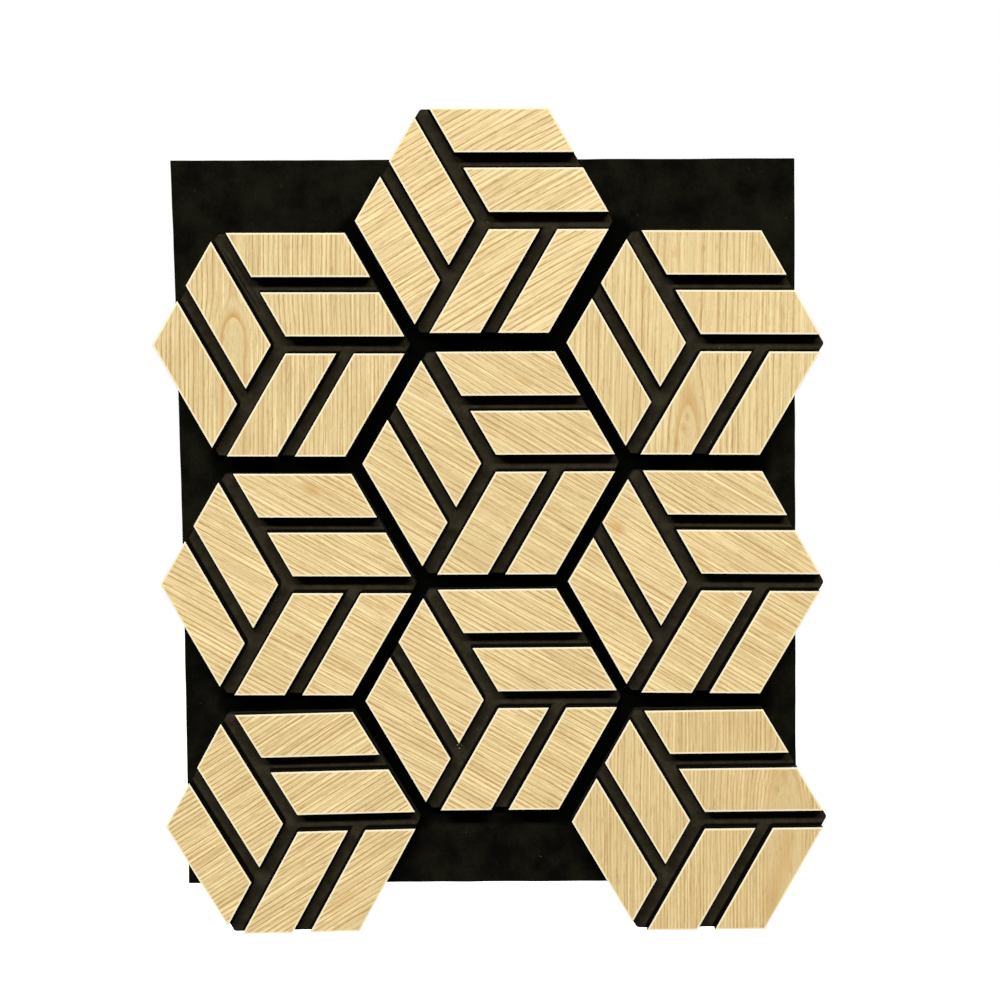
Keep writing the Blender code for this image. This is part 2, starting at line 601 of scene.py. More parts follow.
        # Each is worn into patches by a noise that lies around a half, so its depth is doubled
        if crown:
            ring = wood.add("MapRange", (radius, crown.arch - 2, crown.arch + 6))
            arch = wood.add("ValToRGB", (ring,), ARCH_SHADES)
            reached = wood.add("Math", (arch, 2 * crown.soaked), operation="MULTIPLY")
            patches.append((reached, noises["strength"]))
        to_grain = Matrix.Rotation(-math.radians(figure.grain_angle), 2)
        for stain in figure.stains:
            u, v = to_grain @ Vector((stain.right, stain.up))
            size = (2 * stain.reach, 1e6, stain.reach)
            around = wood.add(
                "Mapping", (grain, (u, 0, v), (0, 0, 0), size), vector_type="TEXTURE"
            )
            offset = wood.add("VectorMath", (around,), take="Value", operation="LENGTH")
            frayed = wood.add("Math", (noises["threads"], 0.8, offset), operation="MULTIPLY_ADD")
            reached = wood.add(
                "MapRange", (frayed, 0.5, 1.5, 2 * stain.depth, 0.0),
                interpolation_type="SMOOTHSTEP",
            )
            patches.append((reached, noises["gleams"]))
        return [wood.add("Math", patch, operation="MULTIPLY") for patch in patches]

    def wood_colour(
        self,
        wood: Nodes,
        grain: Socket,
        radius: Socket,
        lines: Socket,
        plain: Socket,
        noises: dict[str, Socket],
    ) -> Socket:
        """Colours the wood from its rings, threads, pores, bands, stains and its pale rim: sanded
        raw wood with a painted highlight.

        Args:
            wood: The material's nodes.
            grain: The place in the tile's millimetres, X along the grain.
            radius: The distance from the pith, in millimetres.
            lines: How dark the rings are.
            plain: Near 0 in the heart, where hardly a line shows, and 1 outside it.
            noises: The layers of noise by name.

        Returns:
            The colour.
        """
        figure = self.place.figure
        # Threads are the fibre bundles between the rings, and pores are drawn wider than their
        # real 0.2 mm so that they show
        threads = wood.add("MapRange", (noises["threads"], 0.48, 0.68, 0.0, self.thread_depth))
        pores = wood.add(
            "MapRange", (noises["pores"], 0.55, 0.72, 0.0, self.pore_depth),
            interpolation_type="SMOOTHSTEP",
        )
        bands = wood.add("MapRange", (noises["bands"], 0.36, 0.66, 0.0, self.band_depth))
        brightest = self.gleam_depth * figure.line_depth
        gleams = wood.add("MapRange", (noises["gleams"], 0.48, 0.68, 0.0, brightest))
        outside = wood.add("Math", (threads, plain), operation="MULTIPLY")
        dark = wood.add("Math", (lines, figure.line_depth, outside), operation="MULTIPLY_ADD")
        darker = wood.add("Math", (dark, pores), operation="ADD", use_clamp=True)
        warm = wood.add("Math", (bands, 0.5 * figure.warmth), operation="ADD", use_clamp=True)
        gleam = wood.add("Math", (gleams, plain), operation="MULTIPLY")
        tones = [(warm, self.deep_tone), (gleam, self.pale_wood), (darker, self.late_wood)]
        tones += [(share, self.tan) for share in self.soaked(wood, grain, radius, noises)]
        colour: Feed = linear(self.early_wood)
        for share, tone in tones:
            colour = wood.add(
                "Mix", {Mixer.FACTOR: share, Mixer.FIRST: colour, Mixer.SECOND: linear(tone)},
                take=Mixer.RESULT, data_type="RGBA",
            )
        value: Feed = self.brightness - 0.14 * figure.warmth - self.cloud_depth / 2
        # Without lines and gleams the inside of a crown is a shade duller
        for shade, depth in (
            (noises["ripple"], self.ripple_depth), (plain, self.plain_depth),
            (noises["clouds"], self.cloud_depth), (noises["flecks"], self.fleck_depth),
        ):
            value = wood.add("Math", (shade, depth, value), operation="MULTIPLY_ADD")
        toned = wood.add("HueSaturation", {"Color": colour, "Value": value})
        # The pale rim is sanded raw wood with a painted highlight along each slat's edge
        sanded_and_highlit = wood.add("Attribute", take="Fac", attribute_name=Slat.RIM)
        rim = {Mixer.FACTOR: sanded_and_highlit, Mixer.FIRST: toned, Mixer.SECOND: linear(self.rim_wood_and_highlight)}
        return wood.add("Mix", rim, take=Mixer.RESULT, data_type="RGBA")


@dataclass(frozen=True)
class DyedFibreboard:
    """Black-dyed medium-density fibreboard, routed.

    Its cut sides are fine brown-black crumb in faint layers, with a dry surface that stays dull.
    """

    dark: str = "#060504"
    light: str = "#13110C"
    crumb: float = 0.7 * MM
    layer: float = 0.8 * MM
    layer_reach: float = 9 * MM

    def material(self) -> bpy.types.Material:
        """Builds the slats' core.

        Returns:
            The material.
        """
        material = bpy.data.materials.new("dyed_fibreboard_core_routed")
        core = Nodes(material)
        spot = core.add("TexCoord", take="Object")
        fine = core.add(
            "TexNoise", {"Vector": spot, "Scale": 1 / self.crumb, "Detail": 3.0, "Roughness": 0.6}
        )
        flat = (1 / self.layer_reach, 1 / self.layer, 1 / self.layer_reach)
        layered = core.add("Mapping", {"Vector": spot, "Scale": flat})
        layers = core.add("TexNoise", {"Vector": layered, "Scale": 1.0, "Detail": 2.0})
        both = core.add("Math", (fine, layers), operation="MULTIPLY")
        shades = ((0.12, linear(self.dark)), (0.42, linear(self.light)))
        core.set_inputs(
            "Principled BSDF",
            {
                "Base Color": core.add("ValToRGB", (both,), shades),
                "Normal": core.add(
                    "Bump", {"Height": both, "Strength": 0.6, "Distance": 0.15 * MM}
                ),
                "Roughness": 0.9, "Specular IOR Level": 0.08,
            },
        )
        return material


@dataclass(frozen=True)
class Streak:
    """A track that the router bit left in a tile's felt, from one point to another on the panel."""

    start: tuple[float, float]
    end: tuple[float, float]
    width: float
    depth: float
    colour: str


@dataclass(frozen=True)
class PressedFelt:
    """Needled polyester felt, dyed black and pressed into board.

    Short fibres cross in all directions, so it is matt with a faint mottle, and it drinks the
    light. Wood dust from the router, where there is any, makes it browner and paler. Beside the
    slats and between the tiles it is painted black as shade, and a tile's felt is painted part
    black on its sides and back.
    """

    PAINTED_SHADE = "clean_border"

    name: str
    base: str
    mottle: str
    dust: str
    dustiness: float
    gloss: float
    # The black painted as shade where the shade layer asks for it
    shade_black: str = "#080705"
    fibre_length: float = 2.4
    fibre_width: float = 0.35
    clump: float = 7.0
    dust_drift: float = 16.0
    streaks: tuple[Streak, ...] = ()

    def material(self) -> bpy.types.Material:
        """Builds the felt.

        Returns:
            The material.
        """
        material = bpy.data.materials.new(self.name)
        felt = Nodes(material)
        spot = felt.add("TexCoord", take="Object")
        # Fibres lie in the board's plane in three directions. They are drawn at 0.35 mm, some ten
        # times their real width, so that they show
        size = (self.fibre_length * MM, self.fibre_width * MM, self.fibre_width * MM)
        height: Feed = 0.0
        for number, turn in enumerate((12, 74, 131)):
            turned = felt.add(
                "Mapping", (spot, (number * 0.013, 0, 0), (0, math.radians(turn), 0), size),
                vector_type="TEXTURE",
            )
            strands = felt.add(
                "TexNoise", {"Vector": turned, "Scale": 1.0, "Detail": 2.0, "Distortion": 0.6}
            )
            height = felt.add("Math", (strands, height), operation="MAXIMUM")
        clumps = felt.add(
            "TexNoise",
            {"Vector": spot, "Scale": 1 / (self.clump * MM), "Detail": 4.0, "Roughness": 0.62},
        )
        fuzz = felt.add("Math", (height, clumps), operation="MULTIPLY")
        drifts = felt.add(
            "TexNoise",
            {"Vector": spot, "Scale": 1 / (self.dust_drift * MM), "Detail": 5.0, "Roughness": 0.68},
        )
        settled = felt.add("MapRange", (drifts, 0.34, 0.66, self.dustiness * 0.55, self.dustiness))
        # Painted shade: black beside the slats, between the tiles and on a hexagon's sides and back
        border = felt.add("Attribute", take="Fac", attribute_name=self.PAINTED_SHADE)
        black = felt.add("MapRange", (border, 0.0, 0.5))
        tints = [(settled, self.dust)]
        tints += [(self.scored(felt, spot, streak), streak.colour) for streak in self.streaks]
        tints.append((black, self.shade_black))
        shades = ((0.20, linear(self.base)), (0.46, linear(self.mottle)))
        colour = felt.add("ValToRGB", (fuzz,), shades)
        for share, tint in tints:
            colour = felt.add(
                "Mix", {Mixer.FACTOR: share, Mixer.FIRST: colour, Mixer.SECOND: linear(tint)},
                take=Mixer.RESULT, data_type="RGBA",
            )
        felt.set_inputs(
            "Principled BSDF",
            {
                "Base Color": colour, "Roughness": 0.95, "Specular IOR Level": self.gloss,
                "Sheen Weight": self.gloss, "Sheen Roughness": 0.5,
                "Normal": felt.add(
                    "Bump", {"Height": fuzz, "Strength": 0.7, "Distance": 0.5 * MM}
                ),
            },
        )
        return material

    def scored(self, felt: Nodes, spot: Socket, streak: Streak) -> Socket:
        """Finds a thin track on the felt.

        Args:
            felt: The material's nodes.
            spot: The place on the panel, in metres.
            streak: The track.

        Returns:
            How much the track covers.
        """
        run = Vector((streak.end[0] - streak.start[0], streak.end[1] - streak.start[1]))
        start = (streak.start[0], 0, streak.start[1])
        lean = (0, -math.atan2(run.y, run.x), 0)
        lined = felt.add(
            "Mapping", (spot, start, lean, (run.length, 1, streak.width)), vector_type="TEXTURE"
        )
        apart = felt.add("SeparateXYZ", (lined,)).node.outputs
        side = felt.add("Math", (apart["Z"],), operation="ABSOLUTE")
        middle = felt.add("Math", (apart["X"], 0.5), operation="SUBTRACT")
        reach = felt.add("Math", (middle,), operation="ABSOLUTE")
        # The track fades at its sides, and in and out along its length
        across, faded = (
            felt.add("MapRange", spread, interpolation_type="SMOOTHSTEP")
            for spread in ((side, 0.2, 0.6, streak.depth, 0.0), (reach, 0.30, 0.5, 1.0, 0.0))
        )
        return felt.add("Math", (across, faded), operation="MULTIPLY")


@dataclass(frozen=True)
class LooseBit:
    """Chips of oak or short polyester lint: pale, dry and uneven in tone."""

    name: str
    dark: str
    light: str
    grain: float = 0.6 * MM

    def material(self) -> bpy.types.Material:
        """Builds the bits' material.

        Returns:
            The material.
        """
        material = bpy.data.materials.new(self.name)
        bits = Nodes(material)
        spot = bits.add("TexCoord", take="Object")
        grain = bits.add("TexNoise", {"Vector": spot, "Scale": 1 / self.grain, "Detail": 2.0})
        shades = ((0.35, linear(self.dark)), (0.65, linear(self.light)))
        bits.set_inputs(
            "Principled BSDF",
            {
                "Base Color": bits.add("ValToRGB", (grain,), shades), "Roughness": 0.8,
                "Normal": bits.add(
                    "Bump", {"Height": grain, "Strength": 0.5, "Distance": 0.05 * MM}
                ),
            },
        )
        return material


@dataclass
class BackingBoard:
    """The rectangular felt board, cut by hand so that its corners are a little off square."""

    thickness: float = BOARD_THICKNESS
    rim_radius: float = 0.0006
    waver: float = 0.00025
    waver_length: float = 0.021
    cells: int = 120
    # Between tiles the felt is painted black as shade: fully where the distances to two tiles add
    # up to this much and not at all where they add up to the open board's sum
    between_tiles: float = 0.017
    open_board: float = 0.025
    # The corners of the front, right and up from the board's middle, and the left edge's inward bow
    top_left: tuple[float, float] = (-0.2443, 0.2860)
    top_right: tuple[float, float] = (0.2424, 0.2822)
    bottom_right: tuple[float, float] = (0.2413, -0.2840)
    bottom_left: tuple[float, float] = (-0.2391, -0.2841)
    left_bow: float = 0.0019
    # How far the lower right corner, which lies behind a tile, is nipped off
    nipped: float = 0.0022

    def outline_point(self, across: float, up: float) -> Vector:
        """Gives the point of the board's plane for shares of its width and height.

        Args:
            across: 0 at the left edge and 1 at the right.
            up: 0 at the bottom edge and 1 at the top.

        Returns:
            The point on the panel, at the board's front.
        """
        low = Vector(self.bottom_left).lerp(Vector(self.bottom_right), across)
        high = Vector(self.top_left).lerp(Vector(self.top_right), across)
        flat = low.lerp(high, up)
        flat.x += self.left_bow * (1 - across) * 4 * up * (1 - up)
        uneven = noise.noise(Vector((flat.x, flat.y, 0)) / self.waver_length) * self.waver
        return Vector((flat.x + uneven, BOARD_FRONT, flat.y - uneven))

    def build(self) -> bmesh.types.BMesh:
        """Makes the board: a sheet with a wavering outline, given its thickness and soft rims.

        Returns:
            The mesh.
        """
        bm = bmesh.new()
        bmesh.ops.create_grid(bm, x_segments=self.cells, y_segments=self.cells, size=0.5)
        for vert in bm.verts:
            vert.co = self.outline_point(vert.co.x + 0.5, vert.co.y + 0.5)
        corner = min(bm.verts, key=lambda vert: (vert.co.xz - Vector(self.bottom_right)).length)
        corner.co += Vector((-self.nipped, 0, self.nipped))
        bmesh.ops.recalc_face_normals(bm, faces=bm.faces)
        front = list(bm.faces)
        if front[0].normal.y > 0:
            bmesh.ops.reverse_faces(bm, faces=front)
        grown = bmesh.ops.extrude_face_region(bm, geom=front, use_keep_orig=True)
        back = [v for v in grown["geom"] if isinstance(v, bmesh.types.BMVert)]
        bmesh.ops.translate(bm, verts=back, vec=(0, self.thickness, 0))
        bmesh.ops.recalc_face_normals(bm, faces=bm.faces)
        rims = [
            e for e in bm.edges
            if len(e.link_faces) == 2 and e.calc_face_angle(0) > SHARP
        ]
        bmesh.ops.bevel(
            bm, geom=rims, offset=self.rim_radius, offset_type="OFFSET", segments=3, profile=0.5,
            affect="EDGES", material=-1, clamp_overlap=True,
        )
        # Painted shade: the board's front is black where it lies between tiles
        shade_layer = bm.verts.layers.float.new(PressedFelt.PAINTED_SHADE)
        for vert in bm.verts:
            if vert.co.y < BOARD_FRONT + self.rim_radius / 2:
                nearest = sum(sorted(place.off_edge(vert.co) for place in TILES)[:2])
                opening = (nearest - self.between_tiles) / (self.open_board - self.between_tiles)
                vert[shade_layer] = 0.5 * (1 - min(1.0, max(0.0, opening)))
        return bm

    def dress(self, felt: bpy.types.Material) -> bpy.types.Object:
        """Builds the board in black felt.

        Args:
            felt: The felt.

        Returns:
            The piece.
        """
        return finish_piece("felt_board", self.build(), [felt], ("backing_board",), 40)


@dataclass
class FeltHexagon:
    """The felt hexagon under one tile's slats."""

    place: TilePlace
    side: float = HEX_SIDE
    thickness: float = FELT_THICKNESS + NAP
    corner_radius: float = 0.0016
    rim_radius: float = 0.0008
    waver: float = 0.00022
    waver_length: float = 0.006
    cuts: int = 26
    # Beside a slat the felt is painted black as shade, which fades out this far from it. Its sides
    # and back get this share of that black
    clean_border: float = 0.0026
    black_behind: float = 0.4

    def groove_lines(self) -> list[tuple[Vector, float]]:
        """Gives the lines where the grooves and their painted shade borders begin and end.

        Returns:
            For each line, the direction square to it and its distance from the tile's middle.
        """
        slat_groove = (FACE_START + HEX_SIDE) / 2 * math.sin(SIXTY)
        lines = []
        for face in Face:
            square = Matrix.Rotation(face.value * FACE_TURN, 3, "Z") @ Vector((0, 1, 0))
            for middle, width in ((0.0, FACE_GROOVE), (slat_groove, SLAT_GROOVE)):
                for half in (width / 2, width / 2 - self.clean_border):
                    lines.extend(((square, middle - half), (square, middle + half)))
        return lines

    def off_slats(self, spot: Vector) -> float:
        """Measures how far a place on the felt is from the nearest slat.

        Args:
            spot: The place in the tile's own plane.

        Returns:
            The distance, and 0 where a slat covers it.
        """
        nearest = self.side
        for face in Face:
            turned = Matrix.Rotation(-face.value * FACE_TURN, 3, "Z") @ spot
            up = turned.y / math.sin(SIXTY)
            right = turned.x - up * math.cos(FACE_TURN)
            for row in Row:
                near, far = Slat(self.place, face, row).reach()
                outside = max(near - up, up - far, FACE_START - right, 0.0)
                nearest = min(nearest, outside * math.sin(SIXTY))
        return nearest

    def build(self) -> bmesh.types.BMesh:
        """Makes the hexagon: rounded corners, a wavering edge and a soft front rim.

        Returns:
            The mesh.
        """
        bm = bmesh.new()
        # A circle of six sides has a corner at its top, and half of sixty degrees puts a flat there
        bmesh.ops.create_circle(
            bm, cap_ends=True, segments=6, radius=self.side,
            matrix=Matrix.Rotation(SIXTY / 2, 4, "Z"),
        )
        bmesh.ops.bevel(
            bm, geom=list(bm.verts), offset=self.corner_radius, offset_type="OFFSET", segments=5,
            profile=0.5, affect="VERTICES", material=-1,
        )
        long_sides = [e for e in bm.edges if e.calc_length() > self.side / 2]
        bmesh.ops.subdivide_edges(bm, edges=long_sides, cuts=self.cuts)
        apart = Vector((self.place.column, self.place.step, 0)) * 3
        for vert in bm.verts:
            ragged = noise.noise((vert.co + apart) / self.waver_length)
            vert.co += vert.co.normalized() * ragged * self.waver
        grown = bmesh.ops.extrude_face_region(bm, geom=list(bm.faces), use_keep_orig=True)
        top = [v for v in grown["geom"] if isinstance(v, bmesh.types.BMVert)]
        bmesh.ops.translate(bm, verts=top, vec=(0, 0, self.thickness))
        bmesh.ops.recalc_face_normals(bm, faces=bm.faces)
        rim = [
            e for e in bm.edges
            if all(abs(v.co.z - self.thickness) < 1e-7 for v in e.verts)
            and e.calc_face_angle(0) > SHARP
        ]
        bmesh.ops.bevel(
            bm, geom=rim, offset=self.rim_radius, offset_type="OFFSET", segments=4, profile=0.5,
            affect="EDGES", material=-1, clamp_overlap=True,
        )
        for square, distance in self.groove_lines():
            front = [f for f in bm.faces if f.normal.z > 0.99]
            around = {g for f in front for g in (*f.verts, *f.edges)}
            bmesh.ops.bisect_plane(
                bm, geom=[*front, *around], dist=1e-6, plane_co=square * distance, plane_no=square
            )
        # Painted shade: the front is black beside the slats, and the sides and back are part black
        shade_layer = bm.verts.layers.float.new(PressedFelt.PAINTED_SHADE)
        for vert in bm.verts:
            vert[shade_layer] = self.black_behind
            if vert.co.z > self.thickness - 1e-6:
                vert[shade_layer] = max(0.0, 1 - self.off_slats(vert.co) / self.clean_border)
        bm.transform(self.place.frame(BOARD_FRONT))
        return bm

    def dress(self, felt: bpy.types.Material) -> bpy.types.Object:
        """Builds the hexagon in felt.

        Args:
            felt: The felt.

        Returns:
            The piece.
        """
        name = f"{self.place.name}_felt_hexagon"
        return finish_piece(name, self.build(), [felt], ("backing_board",), 40)


@dataclass
class Slat:
    """One slat: a parallelogram of dyed fibreboard with oak veneer on its front."""

    # The layer that marks the front's pale rim: sanded raw wood with a painted highlight
    RIM = "sanded_rim"

    place: TilePlace
    face: Face
    row: Row
    veneer: float = 0.0006
    arris: float = 0.0003
    # The front's rim is painted pale, sanded raw wood with a painted highlight: fully over the
    # first width, fading over the second
    full_rim: float = 0.0006
    fading_rim: float = 0.0008

    def reach(self) -> tuple[float, float]:
        """Gives where the slat lies across its face.

        Returns:
            Its near and far distances from the face's first groove.
        """
        middle = (FACE_START + HEX_SIDE) / 2
        if self.row is Row.INNER:
            return FACE_START, middle - HALF_SLAT_GROOVE
        return middle + HALF_SLAT_GROOVE, HEX_SIDE

    def build(self) -> bmesh.types.BMesh:
        """Makes the slat: a sheared block with sanded edges, cut where the veneer meets the core.

        Returns:
            The mesh, with material 0 on the veneer and 1 on the core.
        """
        near, far = self.reach()
        along = Vector((1, 0, 0))
        across = Vector((math.cos(FACE_TURN), math.sin(FACE_TURN), 0))
        middle = along * (FACE_START + HEX_SIDE) / 2 + across * (near + far) / 2
        high = Vector((0, 0, SLAT_THICKNESS))
        sides = (along * (HEX_SIDE - FACE_START), across * (far - near), high)
        block = Matrix.Translation(middle + high / 2) @ Matrix(sides).transposed().to_4x4()
        bm = bmesh.new()
        rim = bm.verts.layers.float.new(self.RIM)
        bmesh.ops.create_cube(bm, size=1, matrix=block)
        bmesh.ops.bevel(
            bm, geom=list(bm.edges), offset=self.arris, offset_type="OFFSET", segments=3,
            profile=0.5, affect="EDGES", material=-1,
        )
        front = max(bm.faces, key=lambda f: f.calc_center_median().z)
        # Painted highlight: the rim layer marks the front's pale band, which is also sanded raw
        # wood
        for vert in bm.verts:
            vert[rim] = 1.0
        for width, wear in ((self.full_rim, 1.0), (self.fading_rim, 0.0)):
            bmesh.ops.inset_individual(bm, faces=[front], thickness=width, use_even_offset=True)
            for vert in front.verts:
                vert[rim] = wear
        glue_line = SLAT_THICKNESS - self.veneer
        bmesh.ops.bisect_plane(
            bm, geom=[*bm.verts, *bm.edges, *bm.faces], dist=1e-6, plane_co=(0, 0, glue_line),
            plane_no=(0, 0, 1),
        )
        for piece in bm.faces:
            piece.material_index = 0 if piece.calc_center_median().z > glue_line else 1
        turn = Matrix.Rotation(self.face.value * FACE_TURN, 4, "Z")
        bm.transform(self.place.frame(SLAT_BACK) @ turn)
        return bm

    def dress(self, veneer: bpy.types.Material, core: bpy.types.Material) -> bpy.types.Object:
        """Builds the slat with its veneer and core.

        Args:
            veneer: The tile's oak veneer.
            core: The dyed fibreboard.

        Returns:
            The piece.
        """
        stem = f"{self.place.name}_{self.face.name.lower()}_{self.row.value}"
        return finish_piece(
            f"{stem}_oak_slat", self.build(), [veneer, core], (f"{stem}_slat",), 35
        )


@dataclass
class Tile:
    """One tile: a felt hexagon that carries six slats."""

    place: TilePlace
    number: int

    def dress(self, felt: bpy.types.Material, core: bpy.types.Material) -> None:
        """Builds the hexagon and its slats, with one sheet of veneer running through all six.

        Args:
            felt: The felt under the slats.
            core: The slats' core.
        """
        FeltHexagon(self.place).dress(felt)
        veneer = OakVeneer(self.place, seed=float(self.number + 1)).material()
        for face in Face:
            for row in Row:
                Slat(self.place, face, row).dress(veneer, core)


@dataclass(frozen=True)
class Speck:
    """A chip or fibre on the felt: its place on the panel and its size in millimetres."""

    right: float
    up: float
    size: float
    turn: float = 0.0


@dataclass
class RouterCrumbs:
    """Chips of oak that the router threw into the grooves."""

    chips: tuple[Speck, ...] = (
        Speck(-24.3, -173.8, 1.5, 60), Speck(-22.6, -172.9, 1.3, 170),
        Speck(-21.2, -174.3, 1.2, 110), Speck(-22.9, -176.3, 1.4, 20),
        Speck(-1.0, -151.8, 0.8, 70), Speck(-8.2, -162.0, 0.8, 130),
        Speck(182.4, 135.5, 0.8, 15), Speck(3.8, 235.1, 1.0, 95), Speck(175.8, 62.5, 1.0, 50),
    )
    dust_grains: int = 110
    dust_size: tuple[float, float] = (0.16, 0.42)
    # How far dust is strewn along a groove and to its sides, as shares of its length and width
    strewn_along: float = 0.94
    strewn_aside: float = 0.36
    # As shares of a bit's size: how deep it sits, and its lumps' length and height
    sunk: float = 0.15
    lump_length: float = 0.7
    lump_height: float = 0.16
    seed: int = 5

    def groove_points(self) -> list[tuple[float, float]]:
        """Picks places on the floors of the grooves.

        Returns:
            Each place on the panel, right and up, in metres.
        """
        rng = random.Random(self.seed)
        middle = (FACE_START + HEX_SIDE) / 2
        across = Vector((math.cos(FACE_TURN), math.sin(FACE_TURN), 0))
        points = []
        for _ in range(self.dust_grains):
            place = rng.choice(TILES)
            off, room = rng.choice(((0.0, FACE_GROOVE), (middle, SLAT_GROOVE)))
            along = rng.uniform(FACE_START, HEX_SIDE * self.strewn_along)
            off += rng.uniform(-self.strewn_aside, self.strewn_aside) * room
            turn = Matrix.Rotation(rng.choice(list(Face)).value * FACE_TURN, 4, "Z")
            point = place.frame(NAP_FRONT) @ turn @ (Vector((along, 0, 0)) + across * off)
            points.append((point.x, point.z))
        return points

    def build(self) -> bmesh.types.BMesh:
        """Makes the chips and the finer grains: small uneven lumps half sunk in the felt's nap.

        Returns:
            The mesh.
        """
        rng = random.Random(self.seed)
        bits = [(c.right * MM, c.up * MM, c.size * MM, math.radians(c.turn)) for c in self.chips]
        for x, z in self.groove_points():
            bits.append((x, z, rng.uniform(*self.dust_size) * MM, rng.uniform(0, math.pi)))
        bm = bmesh.new()
        for x, z, size, turn in bits:
            place = (
                Matrix.Translation((x, NAP_FRONT - size * self.sunk, z))
                @ Matrix.Rotation(turn, 4, "Y")
                @ Matrix.Diagonal((size / 2, size / 4, size / 3, 1))
            )
            made = bmesh.ops.create_icosphere(bm, subdivisions=1, radius=1, matrix=place)
            for vert in made["verts"]:
                lump = noise.noise_vector(vert.co / (size * self.lump_length))
                vert.co += lump * size * self.lump_height
        return bm

    def dress(self, chips: bpy.types.Material) -> bpy.types.Object:
        """Builds the crumbs in oak.

        Args:
            chips: Their material.

        Returns:
            The piece.
        """
        return finish_piece("oak_crumbs", self.build(), [chips])


@dataclass
class PaleLint:
    """Short pale fibres caught in the nap of the board and of one hexagon."""

    on_board: tuple[Speck, ...] = (
        Speck(-157.8, 263.7, 2.4, 35), Speck(-19.6, -245.1, 2.0, 100),
        Speck(38.7, -263.1, 2.6, 160), Speck(119.7, 238.8, 2.2, 60), Speck(207.0, 273.5, 2.4, 15),
        Speck(234.8, 236.0, 2.0, 120), Speck(-226.0, 262.0, 1.8, 75),
        Speck(226.0, -30.0, 1.6, 20), Speck(-228.0, -140.0, 1.7, 140),
    )
    on_tiles: tuple[Speck, ...] = (Speck(-23.0, -83.9, 4.2, 62),)
    fibre_radius: float = 0.00007
    bend: float = math.radians(80)

    def build(self) -> bmesh.types.BMesh:
        """Makes each fibre as a fine arc that lies on the felt.

        Returns:
            The mesh.
        """
        bm = bmesh.new()
        lying = [(s, BOARD_FRONT) for s in self.on_board] + [(s, NAP_FRONT) for s in self.on_tiles]
        upright, sideways = (Matrix.Rotation(math.radians(90), 4, axis) for axis in "XZ")
        for speck, surface in lying:
            radius = speck.size * MM / self.bend
            ring = bmesh.ops.create_circle(
                bm, segments=5, radius=self.fibre_radius,
                matrix=Matrix.Translation((radius, 0, 0)) @ upright @ sideways,
            )
            edges = list({e for v in ring["verts"] for e in v.link_edges})
            before = set(bm.verts) - set(ring["verts"])
            bmesh.ops.spin(
                bm, geom=[*ring["verts"], *edges], cent=(0, 0, 0), axis=(0, 0, 1), dvec=(0, 0, 0),
                angle=self.bend, steps=9, use_merge=False, use_duplicate=False,
            )
            arc = [v for v in bm.verts if v not in before]
            ends = [e for e in bm.edges if e.is_boundary and e.verts[0] in arc]
            bmesh.ops.holes_fill(bm, edges=ends, sides=5)
            place = (
                Matrix.Translation((speck.right * MM, surface - self.fibre_radius, speck.up * MM))
                @ Matrix.Rotation(math.radians(speck.turn), 4, "Y")
                @ upright @ Matrix.Translation((-radius, 0, 0))
            )
            bmesh.ops.transform(bm, matrix=place, verts=arc)
        bmesh.ops.recalc_face_normals(bm, faces=bm.faces)
        return bm

    def dress(self, lint: bpy.types.Material) -> bpy.types.Object:
        """Builds the lint.

        Args:
            lint: Its material.

        Returns:
            The piece.
        """
        return finish_piece("pale_lint", self.build(), [lint], smooth_below=60)


@dataclass(frozen=True)
class Softbox:
    """A rectangular studio light that shines at the panel's middle.

    above and beside are its bearing in degrees from straight in front, or from straight behind
    where behind is set. irradiance is what it gives a surface that faces it.
    """

    name: str
    above: float
    beside: float
    distance: float
    width: float
    height: float
    irradiance: float
    behind: bool = False

    def hang(self) -> bpy.types.Object:
        """Hangs the light.

        Returns:
            The light.
        """
        up, side = math.radians(self.above), math.radians(self.beside)
        forward = 1 if self.behind else -1
        way = Vector(
            (math.sin(side) * math.cos(up), forward * math.cos(side) * math.cos(up), math.sin(up))
        )
        light = bpy.data.lights.new(self.name, "AREA")
        light.shape = "RECTANGLE"
        light.size, light.size_y = self.width, self.height
        # A Lambertian panel of P watts gives P / (pi * d^2) straight ahead, and Blender counts a
        # white surface lit by pi as shown at full white
        light.energy = self.irradiance * math.pi * math.pi * self.distance**2
        lamp = bpy.data.objects.new(self.name, light)
        lamp.location = way * self.distance
        lamp.rotation_euler = (-way).to_track_quat("-Z", "Y").to_euler()
        lamp.visible_camera = False
        bpy.context.scene.collection.objects.link(lamp)
        return lamp


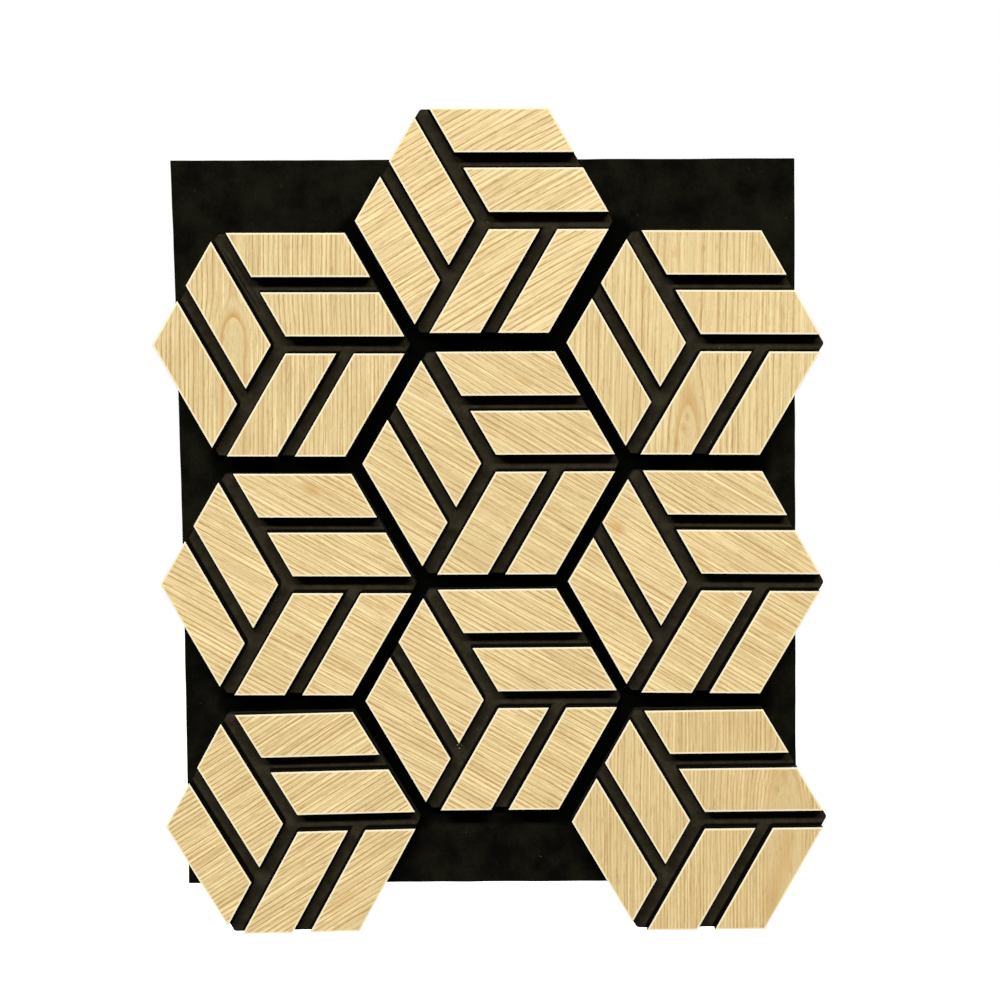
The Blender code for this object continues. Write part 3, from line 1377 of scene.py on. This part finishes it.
@dataclass
class Studio:
    """The pale floor, the soft light, the white surroundings and the camera."""

    camera_place: Vector = Vector((0.0575, -2.1703, 0.1413))
    camera_yaw: float = 1.24
    camera_pitch: float = -3.26
    camera_roll: float = 0.58
    lens: float = 99.36
    # The panel hangs as on a wall, with its lower edge this far above the floor
    hanging_height: float = 0.9
    floor_reach: float = 14.0
    ambient: float = 0.05
    key: Softbox = Softbox("key_softbox", 33.6, -5.0, 18.0, 22.0, 1.74, 1.60)
    back_fill: Softbox = Softbox("back_softbox", 20.0, 25.0, 4.0, 3.0, 3.0, 1.8, behind=True)

    def aim_camera(self) -> bpy.types.Object:
        """Puts the camera where the photograph was taken from.

        Returns:
            The camera.
        """
        camera = bpy.data.cameras.new("camera")
        camera.lens = self.lens
        camera.sensor_width = 36.0
        camera.clip_end = 100.0
        viewer = bpy.data.objects.new("camera", camera)
        turned = Matrix.Translation(self.camera_place)
        for angle, axis in (
            (self.camera_yaw, "Z"), (self.camera_pitch, "X"), (self.camera_roll, "Y"), (90.0, "X"),
        ):
            turned = turned @ Matrix.Rotation(math.radians(angle), 4, axis)
        viewer.matrix_world = turned
        bpy.context.scene.collection.objects.link(viewer)
        bpy.context.scene.camera = viewer
        return viewer

    def floor_material(self) -> bpy.types.Material:
        """Builds the floor's surface: matt white paper that glows a little, to meet the white air.

        Returns:
            The material.
        """
        material = bpy.data.materials.new("matt_white_paper_floor")
        paper = Nodes(material)
        spot = paper.add("TexCoord", take="Object")
        pulp = paper.add("TexNoise", {"Vector": spot, "Scale": 3.0, "Detail": 3.0})
        shades = ((0.0, linear("#F4F4F2")), (1.0, linear("#FCFCFB")))
        paper.set_inputs(
            "Principled BSDF",
            {
                "Base Color": paper.add("ValToRGB", (pulp,), shades), "Roughness": 0.9,
                "Specular IOR Level": 0.1, "Emission Color": WHITE, "Emission Strength": 1.0,
            },
        )
        return material

    def lay_floor(self) -> bpy.types.Object:
        """Lays the floor well below the panel.

        Returns:
            The floor.
        """
        bm = bmesh.new()
        bmesh.ops.create_grid(bm, x_segments=8, y_segments=8, size=self.floor_reach)
        bmesh.ops.translate(bm, verts=bm.verts, vec=(0, 0, CAD_BOX[0][2] - self.hanging_height))
        mesh = bpy.data.meshes.new("floor")
        bm.to_mesh(mesh)
        bm.free()
        mesh.materials.append(self.floor_material())
        floor = bpy.data.objects.new("floor", mesh)
        # The floor shows pale but sends no light up under the slats
        floor.visible_diffuse = False
        floor.visible_glossy = False
        bpy.context.scene.collection.objects.link(floor)
        return floor

    def fill_air(self) -> bpy.types.World:
        """Makes the surroundings: white to look at, and only a weak light on the panel.

        Returns:
            The world.
        """
        world = bpy.data.worlds.new("white_studio")
        air = Nodes(world)
        seen = air.add("LightPath", take="Is Camera Ray")
        weak = air.add("Background", (WHITE, self.ambient))
        white = air.add("Background", (WHITE, 1.0))
        air.set_inputs("World Output", (air.add("MixShader", (seen, weak, white)),))
        bpy.context.scene.world = world
        return world

    def set_up(self) -> None:
        """Sets up the whole studio."""
        self.aim_camera()
        self.lay_floor()
        self.fill_air()
        self.key.hang()
        self.back_fill.hang()
        bpy.context.scene.view_settings.view_transform = "Standard"
        bpy.context.scene.view_settings.look = "None"


# Two tracks of the router bit run side by side down a groove of the top left tile
ROUTER_TRACKS = (
    Streak((-0.2067, 0.2190), (-0.1745, 0.1640), 0.0009, 0.35, "#3E392D"),
    Streak((-0.2055, 0.2197), (-0.1733, 0.1647), 0.0014, 0.75, "#0D0C09"),
    Streak((-0.2018, 0.2212), (-0.1716, 0.1697), 0.0012, 0.60, "#0D0C09"),
)
BOARD_FELT = PressedFelt(
    "needled_felt_board_black", "#050504", "#1B1A11", "#4A4536", 0.015, 0.012, shade_black="#040403",
    clump=26.0,
)
TILE_FELT = PressedFelt(
    "needled_felt_tile_black_dusted", "#1B1812", "#332E24", "#8C7A55", 0.05, 0.02,
    streaks=ROUTER_TRACKS,
)


def main() -> None:
    """Builds and dresses the panel, then sets up the studio."""
    logging.basicConfig(level=logging.INFO, format="%(name)s: %(message)s")
    core = DyedFibreboard().material()
    tile_felt = TILE_FELT.material()
    BackingBoard().dress(BOARD_FELT.material())
    for number, place in enumerate(TILES):
        Tile(place, number).dress(tile_felt, core)
    RouterCrumbs().dress(LooseBit("routed_oak_chips", "#5E5742", "#A39B80").material())
    PaleLint().dress(LooseBit("polyester_lint", "#3C3A32", "#6A675B").material())
    Studio().set_up()


if __name__ == "__main__":
    main()
